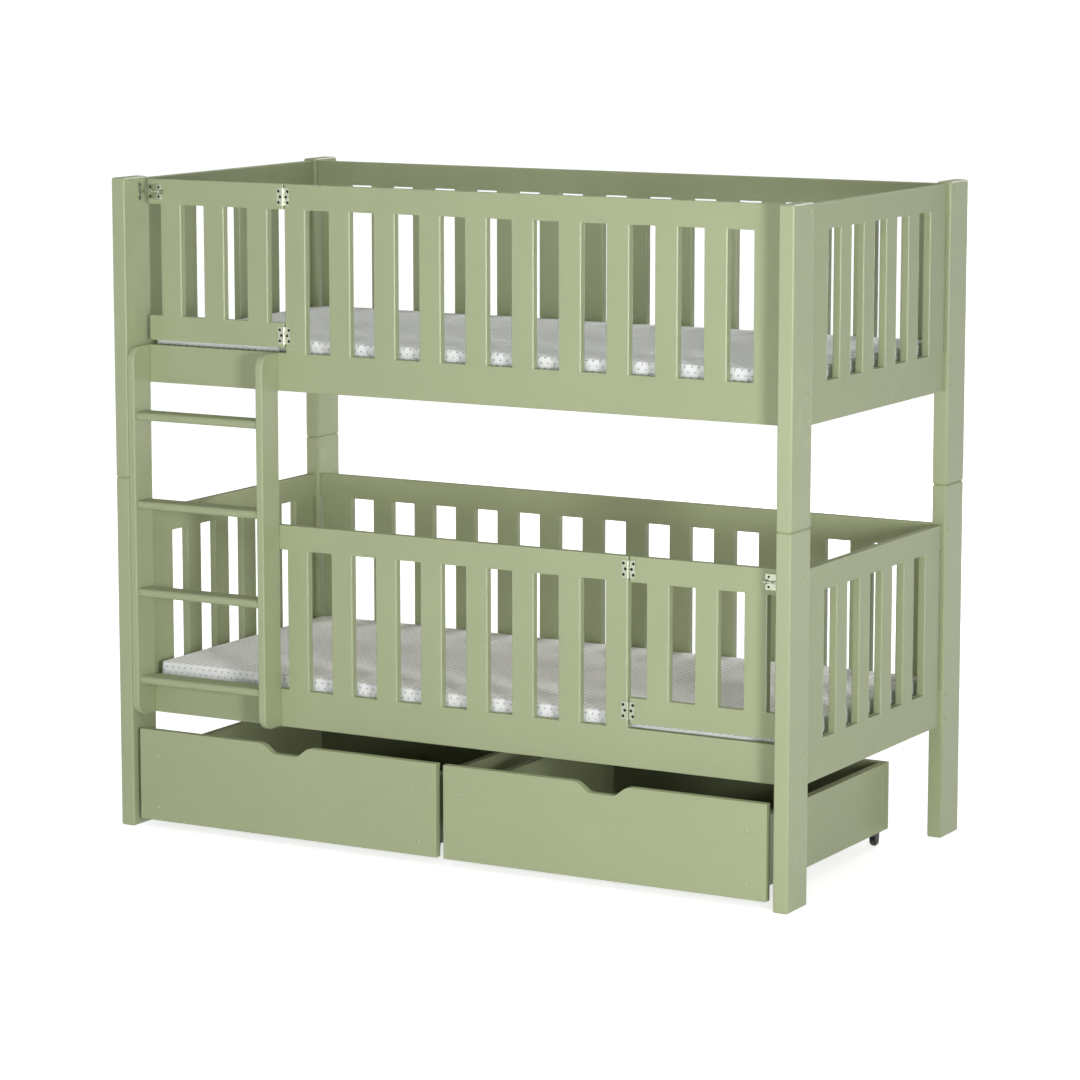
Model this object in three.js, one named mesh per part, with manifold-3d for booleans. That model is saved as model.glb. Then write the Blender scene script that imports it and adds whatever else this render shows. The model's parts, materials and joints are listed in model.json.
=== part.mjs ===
// Child's bunk bed: two slatted beds stacked on divided posts, with a swinging
// gate in each front guard, a fixed ladder and two roll-out drawers.
// Millimetres, +Z up, +X along the length, front at -Y. The origin is on the
// floor, in the middle of the footprint.

import * as THREE from 'three';
import Module from 'manifold-3d';
import { mergeVertices } from 'three/addons/utils/BufferGeometryUtils.js';

const wasm = await Module();
wasm.setup();

// Mattresses, which set the length and the width of the bed
const mattressLength = 1600;
const mattressWidth = 700;
const mattressThickness = 76;
const mattressEndClearance = 5;
const mattressSideClearance = 6;
const mattressSeatGap = 0.3;
const mattressCrown = 5;
const mattressDrawIn = 4;
const mattressCornerRadius = 34;
const mattressLeastCorner = 8;
const mattressCornerSteps = 8;
const mattressEdgeRadius = 14;
const mattressEdgeAngles = [0, 30, 60, 90];
const mattressDrawInProfile = [[0.35, 0.75], [0.5, 1], [0.65, 0.75]];
const mattressCrownProfile = [[0.25, 0.5], [0.5, 0.85], [0.8, 1]];

// Posts, each divided between the two beds
const postThickness = 35;
const postDepth = 94;
const postLowerHeight = 799;
const postUpperHeight = 670;
const postCornerRadius = 4;
const postCornerSteps = 3;
const postEndChamfer = 3;
const stackDowelRadius = 8;
const stackDowelHeight = 30;
const stackDowelSlack = 0.3;

// Slatted panels
const boardThickness = 18;
const sidePanelRecess = 67;
const lowerPanelClearance = 256;
const upperPanelDrop = 210.5;
const bottomRailHeight = 84.5;
const slotHeight = 315;
const topRailHeight = 55;
const slatWidth = 54;
const stileWidth = 80.2;
const sideSlotCount = 13;
const endSlotCount = 5;
const stileGap = 8;
const guardSkippedSlats = 3;
const guardOverhang = 37;

// Gates
const gateRailHeight = 55;
const gateLift = 11;
const gateSlatCount = 3;
const gateLatchOverhang = 34;
const gatePostGap = 16;
const gateHingeGap = 3;

// Butt hinges
const hingeHeight = 38;
const hingeLeafWidth = 16;
const hingeLeafThickness = 1.5;
const hingeKnuckleRadius = 2.8;
const hingePinRadius = 1.5;
const hingeBoardGap = 0.2;
const hingeClearance = 0.3;

// Barrel latches
const latchPlateLength = 38;
const latchPlateHeight = 34;
const latchPlateThickness = 1.5;
const latchPlateInset = 1;
const latchRodRadius = 2.6;
const latchRodClearance = 0.3;
const latchRodPlateGap = 1.4;
const latchLoopWall = 1.9;
const latchLoopWidth = 4.6;
const latchTipGap = 1.5;
const latchThrow = 12;
const latchBoreSpare = 3;
const latchTailLength = 6;
const latchKnobRadius = 1.8;
const latchKnobLength = 8;

// Ladder
const stringerThickness = 18;
const stringerCornerRadius = 30;
const stringerCornerSteps = 8;
const rungThickness = 18;
const rungDepth = 50;
const rungRecess = 5;
const rungNoseRadius = 7;
const rungNoseSteps = 4;
const rungCount = 4;
const topRungDrop = 146.5;
const bottomRungLift = 91.5;

// Slatted bases
const battenWidth = 20;
const battenHeight = 20;
const battenEndGap = 1;
const baseSlatCount = 13;
const baseSlatWidth = 68;
const baseSlatThickness = 14;
const baseSlatEndGap = 2;
const baseOuterMargin = 12;

// Drawers
const drawerFrontFloorGap = 17.5;
const drawerFrontRailGap = 30;
const drawerFrontRecess = 11;
const drawerLeftGap = 11.5;
const drawerMiddleGap = 17.5;
const drawerRightGap = 20;
const drawerDepth = 695;
const drawerSideInset = 37.5;
const drawerWallThickness = 18;
const drawerWallHeight = 153.5;
const drawerWallFloorGap = 28.5;
const drawerBottomThickness = 6;
const drawerBottomLift = 6;
const gripTopWidth = 120;
const gripBottomWidth = 64;
const gripDepth = 22;
const gripTopRadius = 12;
const gripBottomRadius = 6;

// Casters
const casterEndInset = 55;
const wheelRadius = 10;
const wheelWidth = 9;
const wheelBoreClearance = 0.3;
const casterCheek = 2.7;
const casterTopDepth = 22;
const casterBottomDepth = 15;
const casterFloorGap = 3.5;
const casterWheelGap = 0.8;
const casterAxleRadius = 1.6;

// Cutting tools run this far past the faces they cut
const cutPast = 1;
const roundSides = 24;
const smallSides = 12;

// Paint, metal, plastic, cloth and bare wood
const paint = { color: 0xa6b18b, roughness: 0.45, metalness: 0 };
const nickel = { color: 0xd6d6cf, roughness: 0.3, metalness: 1 };
const blackPlastic = { color: 0x16160f, roughness: 0.5, metalness: 0 };
const whiteCloth = { color: 0xe9e9ec, roughness: 0.95, metalness: 0 };
const bareWood = { color: 0xd8bd92, roughness: 0.7, metalness: 0 };

// Places that follow from the sizes
const postInnerSpan = mattressLength + 2 * mattressEndClearance;
const bedLength = postInnerSpan + 2 * postThickness;
const bedWidth = mattressWidth + 2 * (mattressSideClearance + boardThickness + sidePanelRecess);
const frontFace = -bedWidth / 2;
const postInnerX = postInnerSpan / 2;
const postInnerY = bedWidth / 2 - postDepth;
const panelFrontY = frontFace + sidePanelRecess;
const panelInnerY = panelFrontY + boardThickness;
const panelHeight = bottomRailHeight + slotHeight + topRailHeight;
const latchRodStandoff = latchPlateThickness + latchRodPlateGap + latchRodRadius;
const levels = [
  { name: 'lower', z: lowerPanelClearance, gateSide: 1 },
  { name: 'upper', z: postLowerHeight + upperPanelDrop, gateSide: -1 },
];

const bed = new THREE.Group();

// Adds one named piece to the bed.
function addPiece(name, geometry, look, x = 0, y = 0, z = 0) {
  const mesh = new THREE.Mesh(geometry, new THREE.MeshStandardMaterial(look));
  mesh.name = name;
  mesh.position.set(x, y, z);
  bed.add(mesh);
  return mesh;
}

// A closed geometry as a solid that can be joined and cut.
function solid(geometry) {
  const bare = geometry.clone();
  bare.deleteAttribute('normal');
  bare.deleteAttribute('uv');
  const merged = mergeVertices(bare, 1e-4);
  return new wasm.Manifold(new wasm.Mesh({
    numProp: 3,
    vertProperties: Float32Array.from(merged.attributes.position.array),
    triVerts: Uint32Array.from(merged.index.array),
  }));
}

function fromSolid(body) {
  const mesh = body.getMesh();
  const geometry = new THREE.BufferGeometry();
  geometry.setAttribute('position', new THREE.BufferAttribute(mesh.vertProperties, 3));
  geometry.setIndex(new THREE.BufferAttribute(mesh.triVerts, 1));
  geometry.computeVertexNormals();
  return geometry;
}

// A box between two corners.
function box(x0, x1, y0, y1, z0, z1) {
  const geometry = new THREE.BoxGeometry(x1 - x0, y1 - y0, z1 - z0);
  geometry.translate((x0 + x1) / 2, (y0 + y1) / 2, (z0 + z1) / 2);
  return geometry;
}

// A cylinder along x, y or z, from one end to the other.
function rod(axis, radius, from, to, sides, a = 0, b = 0) {
  const geometry = new THREE.CylinderGeometry(radius, radius, to - from, sides);
  const middle = (from + to) / 2;
  if (axis === 'x') {
    geometry.rotateZ(Math.PI / 2);
    geometry.translate(middle, a, b);
  } else if (axis === 'y') {
    geometry.translate(a, middle, b);
  } else {
    geometry.rotateX(Math.PI / 2);
    geometry.translate(a, b, middle);
  }
  return geometry;
}

function shapeFrom(points) {
  const kept = points.filter((point, i) => {
    const before = points[(i + points.length - 1) % points.length];
    return Math.hypot(point[0] - before[0], point[1] - before[1]) > 1e-6;
  });
  return new THREE.Shape(kept.map(([x, y]) => new THREE.Vector2(x, y)));
}

// A shape in x and z, extruded backwards from the plane y = 0 by its thickness.
function uprightBoard(shape, thickness) {
  const geometry = new THREE.ExtrudeGeometry(shape, { depth: thickness, bevelEnabled: false });
  geometry.rotateX(Math.PI / 2);
  geometry.translate(0, thickness, 0);
  return geometry;
}

// Points of an arc about a centre, in degrees.
function arc(cx, cy, radius, from, to, steps) {
  return Array.from({ length: steps + 1 }, (_, i) => {
    const angle = THREE.MathUtils.degToRad(from + ((to - from) * i) / steps);
    return [cx + radius * Math.cos(angle), cy + radius * Math.sin(angle)];
  });
}

function roundedRectangle(halfX, halfY, radius, steps) {
  return [
    ...arc(halfX - radius, halfY - radius, radius, 0, 90, steps),
    ...arc(-halfX + radius, halfY - radius, radius, 90, 180, steps),
    ...arc(-halfX + radius, -halfY + radius, radius, 180, 270, steps),
    ...arc(halfX - radius, -halfY + radius, radius, 270, 360, steps),
  ];
}

// Posts: the lower one carries a glued dowel that enters the upper one.
function postSolid(height) {
  const shape = shapeFrom(
    roundedRectangle(postThickness / 2, postDepth / 2, postCornerRadius, postCornerSteps));
  const geometry = new THREE.ExtrudeGeometry(shape, {
    depth: height - 2 * postEndChamfer,
    bevelEnabled: true,
    bevelThickness: postEndChamfer,
    bevelSize: postEndChamfer,
    bevelOffset: -postEndChamfer,
    bevelSegments: 1,
  });
  geometry.translate(0, 0, postEndChamfer);
  return solid(geometry);
}

// The latch rod enters the post beside each gate.
function latchBore(side, z) {
  const reach = latchThrow - latchTipGap + latchBoreSpare;
  const innerFace = -side * postThickness / 2;
  const radius = latchRodRadius + latchRodClearance;
  const from = Math.min(innerFace - side * cutPast, innerFace + side * reach);
  const to = Math.max(innerFace - side * cutPast, innerFace + side * reach);
  const y = panelFrontY - latchRodStandoff - (frontFace + postDepth / 2);
  return solid(rod('x', radius, from, to, smallSides, y, z));
}

function addPosts() {
  for (const [sideName, sx] of [['left', -1], ['right', 1]]) {
    for (const [endName, sy] of [['front', -1], ['back', 1]]) {
      const x = sx * (bedLength / 2 - postThickness / 2);
      const y = sy * (bedWidth / 2 - postDepth / 2);
      const dowel = rod('z', stackDowelRadius, postLowerHeight - postEndChamfer,
        postLowerHeight + stackDowelHeight, roundSides);
      let lower = postSolid(postLowerHeight).add(solid(dowel));
      const socket = rod('z', stackDowelRadius + stackDowelSlack, -cutPast,
        stackDowelHeight + stackDowelSlack, roundSides);
      let upper = postSolid(postUpperHeight).subtract(solid(socket));
      for (const level of levels) {
        if (sy > 0 || sx !== level.gateSide) continue;
        const z = level.z + panelHeight - gateRailHeight / 2;
        if (level.name === 'lower') lower = lower.subtract(latchBore(sx, z));
        else upper = upper.subtract(latchBore(sx, z - postLowerHeight));
      }
      addPiece(`lower_post_${endName}_${sideName}`, fromSolid(lower), paint, x, y, 0);
      addPiece(`upper_post_${endName}_${sideName}`, fromSolid(upper), paint, x, y, postLowerHeight);
    }
  }
}

// The even slots left between the stiles and slats of a full panel.
function slotWidthFor(length, slotCount) {
  const timber = 2 * stileWidth + (slotCount - 1) * slatWidth;
  return (length - 2 * stileGap - timber) / slotCount;
}

// Where the stiles and slats of a full panel lie, from one end to the other.
function slatRow(length, slotCount) {
  const pitch = slotWidthFor(length, slotCount) + slatWidth;
  const row = [[-length / 2 + stileGap, -length / 2 + stileGap + stileWidth]];
  for (let i = 1; i < slotCount; i += 1) {
    const to = row[0][1] + i * pitch;
    row.push([to - slatWidth, to]);
  }
  row.push([length / 2 - stileGap - stileWidth, length / 2 - stileGap]);
  return row;
}

// Two rails with slats let into them, as one board with its front on y = 0.
function slattedBoard({ rail, top, slats, lowRail, gap, highRail }) {
  const head = lowRail + gap + highRail;
  const board = ([x0, x1], z0, z1) => solid(box(x0, x1, 0, boardThickness, z0, z1));
  let body = board(rail, 0, lowRail).add(board(top, lowRail + gap, head));
  for (const slat of slats) {
    body = body.add(board(slat, lowRail / 2, head - highRail / 2));
  }
  return fromSolid(body);
}

const panelRails = { lowRail: bottomRailHeight, gap: slotHeight, highRail: topRailHeight };
const sideRow = slatRow(postInnerSpan, sideSlotCount);
const sideSpan = [-postInnerX, postInnerX];

function addBackPanels() {
  for (const level of levels) {
    const board = slattedBoard({ rail: sideSpan, top: sideSpan, slats: sideRow, ...panelRails });
    addPiece(`${level.name}_back_panel`, board, paint, 0, -panelInnerY, level.z);
  }
}

function addEndPanels() {
  const span = [-postInnerY, postInnerY];
  const row = slatRow(2 * postInnerY, endSlotCount);
  for (const level of levels) {
    for (const [sideName, sx] of [['left', -1], ['right', 1]]) {
      const board = slattedBoard({ rail: span, top: span, slats: row, ...panelRails });
      board.rotateZ(Math.PI / 2);
      const middle = sx * (bedLength / 2 - postThickness / 2);
      const x = middle + boardThickness / 2;
      addPiece(`${level.name}_end_panel_${sideName}`, board, paint, x, 0, level.z);
    }
  }
}

// The guard leaves room for the gate on one side, and in the lower bed for the
// way in between the ladder's stringers on the other.
const ladderRightX = sideRow[guardSkippedSlats][0] - guardOverhang;
const ladderClearWidth = ladderRightX + postInnerX - stringerThickness;

function addFrontPanels() {
  const last = sideRow.length - guardSkippedSlats;
  for (const level of levels) {
    const upper = level.name === 'upper';
    const slats = upper ? sideRow.slice(guardSkippedSlats) : sideRow.slice(guardSkippedSlats, last);
    const top = upper
      ? [slats[0][0], postInnerX]
      : [ladderRightX, slats[slats.length - 1][1]];
    const board = slattedBoard({ rail: sideSpan, top, slats, ...panelRails });
    addPiece(`${level.name}_front_panel`, board, paint, 0, panelFrontY, level.z);
  }
}

// Gates, measured away from the hinged edge of the guard
const hingeEdgeX = -sideRow[guardSkippedSlats][0];
const gateLength = postInnerX - hingeEdgeX - gatePostGap - gateHingeGap;
const gateHeight = panelHeight - bottomRailHeight - gateLift;

function addGate(level) {
  const side = level.gateSide;
  const near = hingeEdgeX + gateHingeGap;
  const far = near + gateLength;
  const pitch = slotWidthFor(postInnerSpan, sideSlotCount) + slatWidth;
  const span = side > 0 ? [near, far] : [-far, -near];
  const slats = [];
  for (let i = 0; i < gateSlatCount; i += 1) {
    const outer = far - gateLatchOverhang - i * pitch;
    slats.push(side > 0 ? [outer - slatWidth, outer] : [-outer, -outer + slatWidth]);
  }
  slats.sort((a, b) => a[0] - b[0]);
  const board = slattedBoard({
    rail: span,
    top: span,
    slats,
    lowRail: gateRailHeight,
    gap: gateHeight - 2 * gateRailHeight,
    highRail: gateRailHeight,
  });
  addPiece(`${level.name}_gate`, board, paint, 0, panelFrontY, level.z + bottomRailHeight + gateLift);
}

// One hinge: the fixed leaf holds the pin and the two outer knuckles, and the
// leaf on the gate has the middle knuckle. Built about the pin's middle.
const hingePinX = hingeEdgeX + gateHingeGap / 2;
const hingePinStandoff = hingeKnuckleRadius + hingeBoardGap;
const knuckleReach = hingeHeight / 2;
const middleKnuckle = hingeHeight / 6;

function hingePlate(side) {
  const back = hingePinStandoff;
  const front = hingePinStandoff - hingeLeafThickness;
  const from = Math.min(0, side * hingeLeafWidth);
  const to = Math.max(0, side * hingeLeafWidth);
  return solid(box(from, to, front, back, -knuckleReach, knuckleReach));
}

function hingeCylinder(radius, from, to, sides) {
  return solid(rod('z', radius, from, to, sides));
}

function addHinge(level, place, z) {
  const side = level.gateSide;
  const clear = hingeKnuckleRadius + hingeClearance;
  const split = middleKnuckle + hingeClearance / 2;
  const middleRoom = hingeCylinder(clear, -split, split, smallSides);
  const fixed = hingePlate(-side)
    .subtract(middleRoom)
    .add(hingeCylinder(hingeKnuckleRadius, split, knuckleReach, smallSides))
    .add(hingeCylinder(hingeKnuckleRadius, -knuckleReach, -split, smallSides))
    .add(hingeCylinder(hingePinRadius, -knuckleReach, knuckleReach, smallSides));
  const knuckle = split - hingeClearance;
  const past = knuckleReach + cutPast;
  const moving = hingePlate(side)
    .subtract(hingeCylinder(clear, knuckle, past, smallSides))
    .subtract(hingeCylinder(clear, -past, -knuckle, smallSides))
    .add(hingeCylinder(hingeKnuckleRadius, -knuckle, knuckle, smallSides))
    .subtract(hingeCylinder(hingePinRadius + hingeClearance, -past, past, smallSides));
  const x = side * hingePinX;
  const y = panelFrontY - hingePinStandoff;
  addPiece(`${level.name}_gate_hinge_${place}_fixed_leaf`, fromSolid(fixed), nickel, x, y, z);
  addPiece(`${level.name}_gate_hinge_${place}_moving_leaf`, fromSolid(moving), nickel, x, y, z);
}

// The latch: a plate with two loops on the gate, and a rod that slides in them.
function addLatch(level, z) {
  const side = level.gateSide;
  const gateEnd = postInnerX - gatePostGap;
  const plateFar = gateEnd - latchPlateInset;
  const plateNear = plateFar - latchPlateLength;
  const span = (a, b) => [Math.min(side * a, side * b), Math.max(side * a, side * b)];
  const halfHeight = latchPlateHeight / 2;
  const bore = latchRodRadius + latchRodClearance;
  const loop = bore + latchLoopWall;
  const [plateFrom, plateTo] = span(plateNear, plateFar);
  let plate = solid(box(plateFrom, plateTo, -latchPlateThickness, 0, -halfHeight, halfHeight));
  for (const start of [plateNear, plateFar - latchLoopWidth]) {
    const [from, to] = span(start, start + latchLoopWidth);
    const ring = rod('x', loop, from, to, smallSides, -latchRodStandoff, 0);
    const foot = box(from, to, -latchRodStandoff, -latchPlateThickness / 2, -loop, loop);
    plate = plate.add(solid(ring)).add(solid(foot));
  }
  const hole = rod('x', bore, plateFrom - cutPast, plateTo + cutPast, smallSides,
    -latchRodStandoff, 0);
  plate = plate.subtract(solid(hole));
  addPiece(`${level.name}_latch_plate`, fromSolid(plate), nickel, 0, panelFrontY, z);

  const tip = postInnerX - latchTipGap;
  const [rodFrom, rodTo] = span(plateNear - latchTailLength, tip);
  const bar = rod('x', latchRodRadius, rodFrom, rodTo, smallSides, -latchRodStandoff, 0);
  const knobX = side * (plateNear + plateFar) / 2;
  const knob = rod('y', latchKnobRadius, -latchRodStandoff - latchKnobLength, -latchRodStandoff,
    smallSides, knobX, 0);
  addPiece(`${level.name}_latch_rod`, fromSolid(solid(bar).add(solid(knob))), nickel,
    0, panelFrontY, z);
}

function addGatesAndHardware() {
  for (const level of levels) {
    const top = level.z + panelHeight - gateRailHeight / 2;
    const bottom = level.z + bottomRailHeight + gateLift + gateRailHeight / 2;
    addGate(level);
    addHinge(level, 'top', top);
    addHinge(level, 'bottom', bottom);
    addLatch(level, top);
  }
}

// Ladder between the lower bed's bottom rail and the upper bed's
function addLadder() {
  const depth = sidePanelRecess;
  const bottom = levels[0].z;
  const height = levels[1].z + bottomRailHeight - bottom;
  const r = stringerCornerRadius;
  const outline = shapeFrom([
    [depth, 0], [depth, height],
    ...arc(r, height - r, r, 90, 180, stringerCornerSteps),
    ...arc(r, r, r, 180, 270, stringerCornerSteps),
  ]);
  const places = [['left', -postInnerX], ['right', ladderRightX]];
  for (const [name, x] of places) {
    const board = uprightBoard(outline, stringerThickness);
    board.rotateZ(Math.PI / 2);
    board.translate(stringerThickness, 0, 0);
    addPiece(`ladder_stringer_${name}`, board, paint, x, frontFace, bottom);
  }
  const nose = rungNoseRadius;
  const section = shapeFrom([
    [rungDepth, 0], [rungDepth, rungThickness],
    ...arc(nose, rungThickness - nose, nose, 90, 180, rungNoseSteps),
    ...arc(nose, nose, nose, 180, 270, rungNoseSteps),
  ]);
  const rungSpacing = (height - topRungDrop - bottomRungLift) / (rungCount - 1);
  const bottomRungZ = bottom + bottomRungLift - rungThickness;
  for (let i = 0; i < rungCount; i += 1) {
    const rung = uprightBoard(section, ladderClearWidth);
    rung.rotateZ(Math.PI / 2);
    rung.translate(ladderClearWidth, 0, 0);
    addPiece(`ladder_rung_${i + 1}`, rung, paint, -postInnerX + stringerThickness,
      frontFace + rungRecess, bottomRungZ + i * rungSpacing);
  }
}

// A slatted base: two battens along the side panels, and slats across them
function addBases() {
  const battenLength = 2 * (postInnerX - battenEndGap);
  const slatLength = -2 * (panelInnerY + baseSlatEndGap);
  const span = battenLength - 2 * baseOuterMargin - baseSlatWidth;
  for (const level of levels) {
    let base = null;
    for (const sy of [-1, 1]) {
      const outer = sy * -panelInnerY;
      const inner = outer - sy * battenWidth;
      const batten = solid(box(-battenLength / 2, battenLength / 2,
        Math.min(outer, inner), Math.max(outer, inner), 0, battenHeight));
      base = base ? base.add(batten) : batten;
    }
    for (let i = 0; i < baseSlatCount; i += 1) {
      const x = -span / 2 + (span * i) / (baseSlatCount - 1);
      base = base.add(solid(box(x - baseSlatWidth / 2, x + baseSlatWidth / 2,
        -slatLength / 2, slatLength / 2, battenHeight, battenHeight + baseSlatThickness)));
    }
    addPiece(`${level.name}_slatted_base`, fromSolid(base), bareWood, 0, 0, level.z);
  }
}

// How far each ring of a mattress is set in from its outline, and its height:
// a rounded edge, sides drawn in towards the middle, and a crowned top.
function mattressRings() {
  const edge = mattressEdgeRadius;
  const height = mattressThickness;
  const rings = [];
  for (const degrees of mattressEdgeAngles) {
    const a = THREE.MathUtils.degToRad(degrees);
    rings.push([edge * (1 - Math.sin(a)), edge * (1 - Math.cos(a))]);
  }
  const roundEdge = rings.slice();
  for (const [share, drawn] of mattressDrawInProfile) {
    rings.push([mattressDrawIn * drawn, height * share]);
  }
  for (const [inset, z] of roundEdge.reverse()) {
    rings.push([inset, height - z]);
  }
  const reach = mattressWidth / 2 - edge - mattressCornerRadius;
  for (const [share, rise] of mattressCrownProfile) {
    rings.push([edge + share * reach, height + mattressCrown * rise]);
  }
  return rings;
}

// The rings, closed by a fan of triangles at the top and at the bottom.
function mattressGeometry() {
  const halfX = mattressLength / 2;
  const halfY = mattressWidth / 2;
  const rings = mattressRings();
  const points = [];
  const triangles = [];
  for (const [inset, z] of rings) {
    const radius = Math.max(mattressCornerRadius - inset, mattressLeastCorner);
    const loop = roundedRectangle(halfX - inset, halfY - inset, radius, mattressCornerSteps);
    for (const [x, y] of loop) points.push(x, y, z);
  }
  const count = points.length / 3 / rings.length;
  for (let ring = 0; ring < rings.length - 1; ring += 1) {
    for (let i = 0; i < count; i += 1) {
      const a = ring * count + i;
      const b = ring * count + ((i + 1) % count);
      triangles.push(a, b, b + count, a, b + count, a + count);
    }
  }
  const topCentre = points.length / 3;
  points.push(0, 0, rings[rings.length - 1][1]);
  points.push(0, 0, 0);
  const lastRing = (rings.length - 1) * count;
  for (let i = 0; i < count; i += 1) {
    const next = (i + 1) % count;
    triangles.push(lastRing + i, lastRing + next, topCentre);
    triangles.push(next, i, topCentre + 1);
  }
  const geometry = new THREE.BufferGeometry();
  geometry.setAttribute('position', new THREE.Float32BufferAttribute(points, 3));
  geometry.setIndex(triangles);
  geometry.computeVertexNormals();
  return geometry;
}

function addMattresses() {
  for (const level of levels) {
    const z = level.z + battenHeight + baseSlatThickness + mattressSeatGap;
    addPiece(`${level.name}_mattress`, mattressGeometry(), whiteCloth, 0, 0, z);
  }
}

const drawerFrontWidth =
  (postInnerSpan - drawerLeftGap - drawerMiddleGap - drawerRightGap) / 2;
const drawerFrontHeight = lowerPanelClearance - drawerFrontRailGap - drawerFrontFloorGap;

// The drawer front has a grip cut into its top edge.
function drawerFrontBoard() {
  const half = drawerFrontWidth / 2;
  const top = drawerFrontHeight;
  const floor = top - gripDepth;
  const shape = new THREE.Shape();
  const slope = new THREE.Vector2(gripTopWidth / 2 - gripBottomWidth / 2, gripDepth).normalize();
  shape.moveTo(-half, 0);
  shape.lineTo(half, 0);
  shape.lineTo(half, top);
  shape.lineTo(gripTopWidth / 2 + gripTopRadius, top);
  shape.quadraticCurveTo(gripTopWidth / 2, top,
    gripTopWidth / 2 - slope.x * gripTopRadius, top - slope.y * gripTopRadius);
  shape.lineTo(gripBottomWidth / 2 + slope.x * gripBottomRadius, floor + slope.y * gripBottomRadius);
  shape.quadraticCurveTo(gripBottomWidth / 2, floor, gripBottomWidth / 2 - gripBottomRadius, floor);
  shape.lineTo(-gripBottomWidth / 2 + gripBottomRadius, floor);
  shape.quadraticCurveTo(-gripBottomWidth / 2, floor,
    -gripBottomWidth / 2 - slope.x * gripBottomRadius, floor + slope.y * gripBottomRadius);
  shape.lineTo(-gripTopWidth / 2 + slope.x * gripTopRadius, top - slope.y * gripTopRadius);
  shape.quadraticCurveTo(-gripTopWidth / 2, top, -gripTopWidth / 2 - gripTopRadius, top);
  shape.lineTo(-half, top);
  const geometry = new THREE.ExtrudeGeometry(shape, {
    depth: boardThickness,
    bevelEnabled: false,
    curveSegments: 5,
  });
  geometry.rotateX(Math.PI / 2);
  geometry.translate(0, boardThickness, 0);
  return geometry;
}

const drawerFrontY = frontFace + drawerFrontRecess;
const drawerWallY = drawerFrontY + boardThickness;
const drawerBackY = drawerFrontY + drawerDepth;
const drawerBoxHalf = drawerFrontWidth / 2 - drawerSideInset;

// Two sides, a back and a bottom let into them
function drawerBox() {
  const half = drawerBoxHalf;
  const wall = drawerWallThickness;
  const z0 = drawerWallFloorGap;
  const z1 = z0 + drawerWallHeight;
  const bottom = z0 + drawerBottomLift;
  return solid(box(-half, -half + wall, drawerWallY, drawerBackY, z0, z1))
    .add(solid(box(half - wall, half, drawerWallY, drawerBackY, z0, z1)))
    .add(solid(box(-half, half, drawerBackY - wall, drawerBackY, z0, z1)))
    .add(solid(box(-half + wall / 2, half - wall / 2, drawerWallY, drawerBackY - wall / 2,
      bottom, bottom + drawerBottomThickness)));
}

// A caster: a tapered fork with its axle, and the wheel that turns on it
function casterFork() {
  const top = drawerWallFloorGap;
  const corner = casterFloorGap + (casterBottomDepth - 2 * casterFloorGap) / 4;
  const outline = shapeFrom([
    [-casterBottomDepth / 2 + casterFloorGap, casterFloorGap],
    [casterBottomDepth / 2 - casterFloorGap, casterFloorGap],
    [casterBottomDepth / 2, corner + casterFloorGap / 2],
    [casterTopDepth / 2, top],
    [-casterTopDepth / 2, top],
    [-casterBottomDepth / 2, corner + casterFloorGap / 2],
  ]);
  const room = wheelWidth / 2 + casterWheelGap;
  const half = room + casterCheek;
  const block = uprightBoard(outline, 2 * half);
  block.rotateZ(Math.PI / 2);
  block.translate(half, 0, 0);
  const slot = box(-room, room, -casterTopDepth, casterTopDepth,
    0, 2 * wheelRadius + casterWheelGap);
  const axleHalf = room + casterCheek / 2;
  const axle = rod('x', casterAxleRadius, -axleHalf, axleHalf, smallSides, 0, wheelRadius);
  return fromSolid(solid(block).subtract(solid(slot)).add(solid(axle)));
}

function casterWheel() {
  const wheel = solid(rod('x', wheelRadius, -wheelWidth / 2, wheelWidth / 2, roundSides));
  const bore = rod('x', casterAxleRadius + wheelBoreClearance, -wheelWidth, wheelWidth, smallSides);
  return fromSolid(wheel.subtract(solid(bore)));
}

function addDrawers() {
  const half = drawerFrontWidth / 2;
  const leftX = -postInnerX + drawerLeftGap + half;
  const places = [['left', leftX], ['right', leftX + 2 * half + drawerMiddleGap]];
  for (const [name, x] of places) {
    addPiece(`${name}_drawer_front`, drawerFrontBoard(), paint, x, drawerFrontY, drawerFrontFloorGap);
    addPiece(`${name}_drawer_box`, fromSolid(drawerBox()), paint, x, 0, 0);
    for (const [sideName, sx] of [['left', -1], ['right', 1]]) {
      const casterX = x + sx * (drawerBoxHalf - drawerWallThickness / 2);
      const rows = [
        ['front', drawerWallY + casterEndInset],
        ['back', drawerBackY - casterEndInset],
      ];
      for (const [rowName, casterY] of rows) {
        const where = `${name}_drawer_${rowName}_${sideName}`;
        addPiece(`${where}_caster_fork`, casterFork(), blackPlastic, casterX, casterY, 0);
        addPiece(`${where}_caster_wheel`, casterWheel(), blackPlastic, casterX, casterY, wheelRadius);
      }
    }
  }
}

addPosts();
addEndPanels();
addBackPanels();
addFrontPanels();
addGatesAndHardware();
addLadder();
addBases();
addMattresses();
addDrawers();

export default bed;
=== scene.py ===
"""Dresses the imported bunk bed: painted boards with eased edges, plated
hardware, casters, slatted bases and two knitted-cover mattresses."""

import json
import math

import bmesh
import bpy
import numpy as np
from mathutils import Matrix, Vector

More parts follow.
